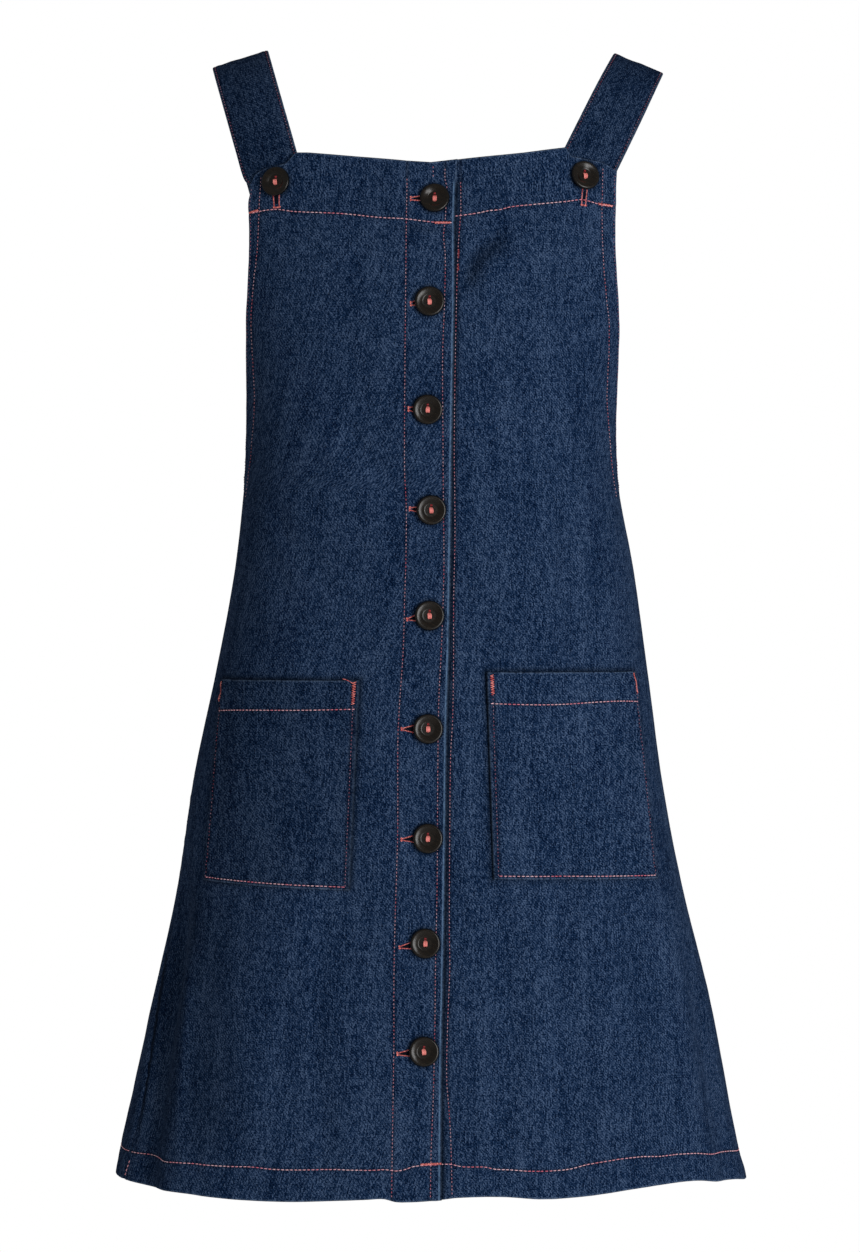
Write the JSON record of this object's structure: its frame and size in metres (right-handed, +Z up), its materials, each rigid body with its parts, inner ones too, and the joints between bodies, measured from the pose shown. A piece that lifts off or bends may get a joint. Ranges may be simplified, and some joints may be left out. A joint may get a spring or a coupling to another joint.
{
  "type": "button-front pinafore dress",
  "caption": "Knee-length A-line denim pinafore dress with a square bib, wide buttoned shoulder straps, a buttoned front and patch pockets.",
  "frame": {"origin": "between the shoulders, level with the top of the straps, where the wearer holds the dress up", "axes": "+Z up, -Y out of the front of the dress, +X towards the wearer's left"},
  "size_m": [0.4905, 0.2755, 0.879],
  "materials": {
    "denim": "dark indigo twill, matt",
    "strap_denim": "dark indigo twill, matt",
    "button": "dark brown, polished"
  },
  "bodies": {
    "root": {"front_right": "denim", "front_left": "denim", "back": "denim", "pocket_right": "denim", "pocket_left": "denim", "strap_right": "strap_denim", "strap_left": "strap_denim", "button_1": "button", "button_2": "button", "button_3": "button", "button_4": "button", "button_5": "button", "button_6": "button", "button_7": "button", "button_8": "button", "button_9": "button", "button_strap_right": "button", "button_strap_left": "button"}
  },
  "joints": []
}
